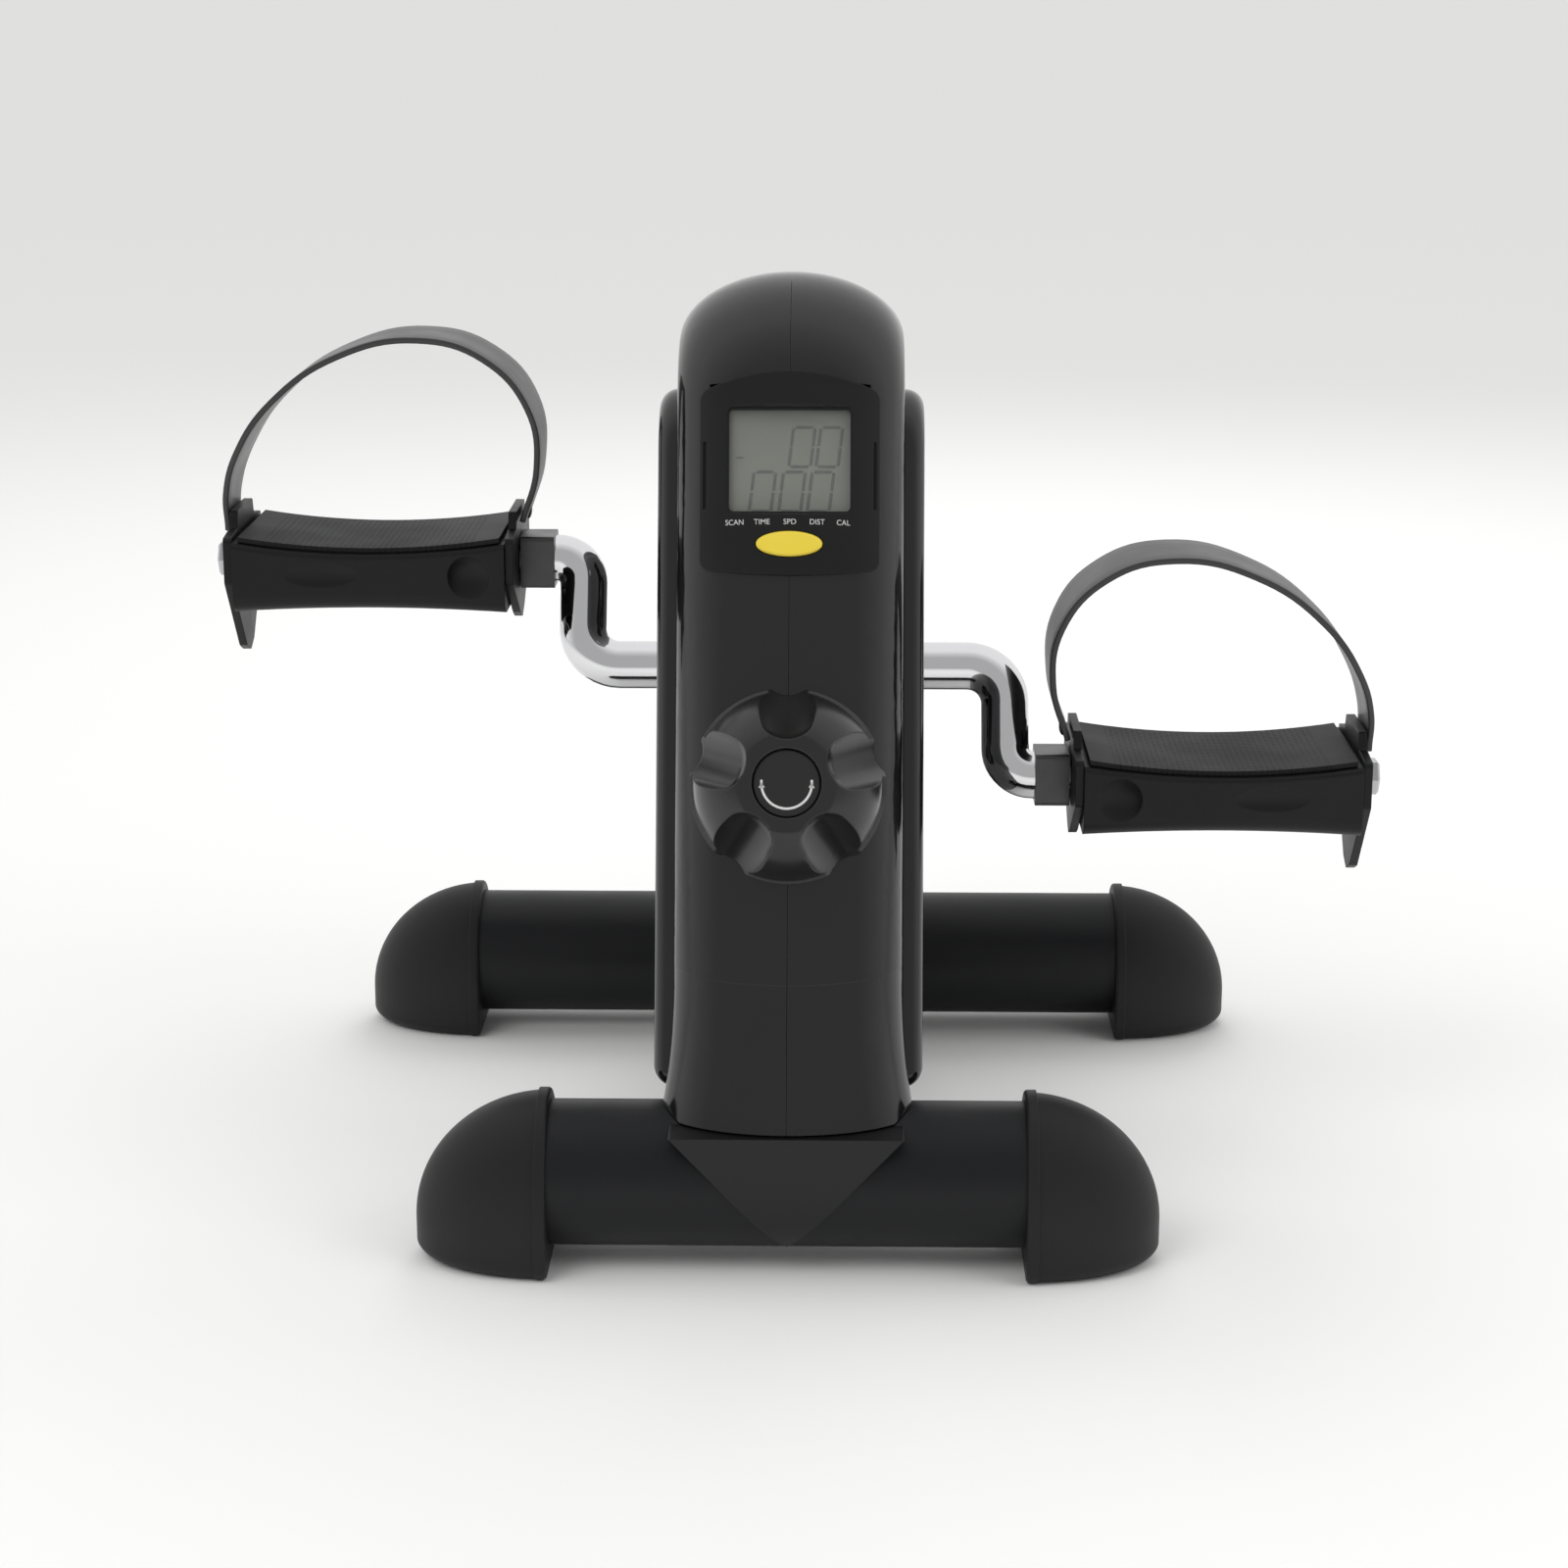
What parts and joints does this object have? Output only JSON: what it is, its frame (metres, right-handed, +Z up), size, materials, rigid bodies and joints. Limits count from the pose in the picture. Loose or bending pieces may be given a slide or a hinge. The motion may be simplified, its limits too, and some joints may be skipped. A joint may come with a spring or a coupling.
{
  "type": "pedal exerciser",
  "caption": "Table-top or floor pedal exerciser: glossy finned housing on two stabiliser tubes, chrome crank, strapped pedals, tension knob and small computer.",
  "frame": {"origin": "on the floor, under the middle of the stabilisers", "axes": "+Z up, -Y towards the user, +X to the user's right along the tubes"},
  "size_m": [0.428, 0.309, 0.327],
  "materials": {
    "gloss_housing": "high-gloss moulded ABS",
    "matt_feet": "fine-grained moulded plastic",
    "powder_coat": "matt powder coat on steel tube",
    "matt_saddle": "satin moulded plastic",
    "crank_chrome": "polished chrome plate",
    "black_collar": "black oxide steel",
    "zinc_steel": "bright zinc plate",
    "bearing_steel": "ground bearing steel",
    "frame_paint": "black electrocoat",
    "cast_wheel": "turned cast iron",
    "pulley_plastic": "glass-filled nylon",
    "belt_rubber": "ribbed belt rubber",
    "ferrite": "sintered ferrite",
    "knob_plastic": "satin-gloss moulded ABS",
    "bezel_plastic": "satin-gloss moulded ABS",
    "window_clear": "clear acrylic",
    "lcd_glass": "reflective LCD",
    "button_yellow": "yellow silicone-topped plastic",
    "board_green": "solder mask on glass laminate",
    "battery_can": "printed steel can",
    "inner_plastic": "plain moulded ABS",
    "pedal_plastic": "fine-textured nylon",
    "tread_rubber": "anti-slip rubber",
    "strap_pvc": "smooth satin PVC",
    "cable_black": "PVC jacket"
  },
  "bodies": {
    "frame": {"base_channel": "frame_paint", "battery": "battery_can", "battery_cover": "inner_plastic", "bracket_pin": "zinc_steel", "bracket_spring": "zinc_steel", "circuit_board": "board_green", "computer_bezel": "bezel_plastic", "computer_case": "inner_plastic", "cover_screws": "zinc_steel", "crank_bearings": "bearing_steel", "display_window": "window_clear", "drive_belt": "belt_rubber", "flywheel_axle": "zinc_steel", "flywheel_axle_nuts": "zinc_steel", "front_left_foot": "matt_feet", "front_right_foot": "matt_feet", "front_saddle_cover": "matt_saddle", "front_stabiliser_tube": "powder_coat", "housing_screws": "zinc_steel", "lcd_panel": "lcd_glass", "left_frame_plate": "frame_paint", "left_side_cover": "gloss_housing", "left_spine_shell": "gloss_housing", "plate_bolts": "zinc_steel", "rear_left_foot": "matt_feet", "rear_right_foot": "matt_feet", "rear_stabiliser_tube": "powder_coat", "reed_sensor": "inner_plastic", "right_frame_plate": "frame_paint", "right_side_cover": "gloss_housing", "right_spine_shell": "gloss_housing", "sensor_wire": "cable_black", "stabiliser_bolts": "zinc_steel", "stabiliser_nuts": "zinc_steel", "tension_cable": "cable_black"},
    "crank": {"crank": "crank_chrome", "crank_collars": "black_collar", "pedal_axles": "zinc_steel", "axle_nuts": "zinc_steel", "crank_pulley": "pulley_plastic", "sensor_magnet": "ferrite"},
    "flywheel": {"flywheel": "cast_wheel", "flywheel_bearings": "bearing_steel", "flywheel_pulley": "pulley_plastic"},
    "knob": {"tension_knob": "knob_plastic", "knob_cap": "knob_plastic", "knob_spindle": "zinc_steel"},
    "brake": {"magnet_bracket": "frame_paint", "brake_magnets": "ferrite"},
    "button": {"mode_button": "button_yellow"},
    "left_pedal": {"left_pedal_body": "pedal_plastic", "left_pedal_bushes": "inner_plastic", "left_pedal_end_plates": "pedal_plastic", "left_pedal_strap": "strap_pvc", "left_pedal_tread": "tread_rubber"},
    "right_pedal": {"right_pedal_body": "pedal_plastic", "right_pedal_bushes": "inner_plastic", "right_pedal_end_plates": "pedal_plastic", "right_pedal_strap": "strap_pvc", "right_pedal_tread": "tread_rubber"}
  },
  "joints": [
    {"name": "crank_spin", "type": "hinge", "parent": "frame", "child": "crank", "pos_m": [0, 0, 0.18], "axis": [1, 0, 0], "continuous": true},
    {"name": "right_pedal_spin", "type": "hinge", "parent": "crank", "child": "right_pedal", "pos_m": [0.15425, -0.018, 0.1435], "axis": [1, 0, 0], "continuous": true},
    {"name": "left_pedal_spin", "type": "hinge", "parent": "crank", "child": "left_pedal", "pos_m": [-0.15425, 0.018, 0.2165], "axis": [1, 0, 0], "continuous": true},
    {"name": "flywheel_spin", "type": "hinge", "parent": "frame", "child": "flywheel", "pos_m": [0, 0.056, 0.12], "axis": [1, 0, 0], "continuous": true},
    {"name": "knob_turn", "type": "hinge", "parent": "frame", "child": "knob", "pos_m": [0, -0.11476, 0.164], "axis": [0, -0.9563, 0.2924], "range_deg": [-150, 150]},
    {"name": "brake_swing", "type": "hinge", "parent": "frame", "child": "brake", "pos_m": [-0.01, -0.002, 0.074], "axis": [1, 0, 0], "range_deg": [-3.6, 3.6]},
    {"name": "button_press", "type": "slide", "parent": "frame", "child": "button", "axis": [0, 0.9563, -0.2924], "range_m": [0, 0.0012], "stiffness_N_per_m": 900, "springref_m": -0.0006}
  ],
  "couplings": [
    {"joint": "flywheel_spin", "follows": "crank_spin", "ratio": 5},
    {"joint": "brake_swing", "follows": "knob_turn", "ratio": 0.023333}
  ]
}
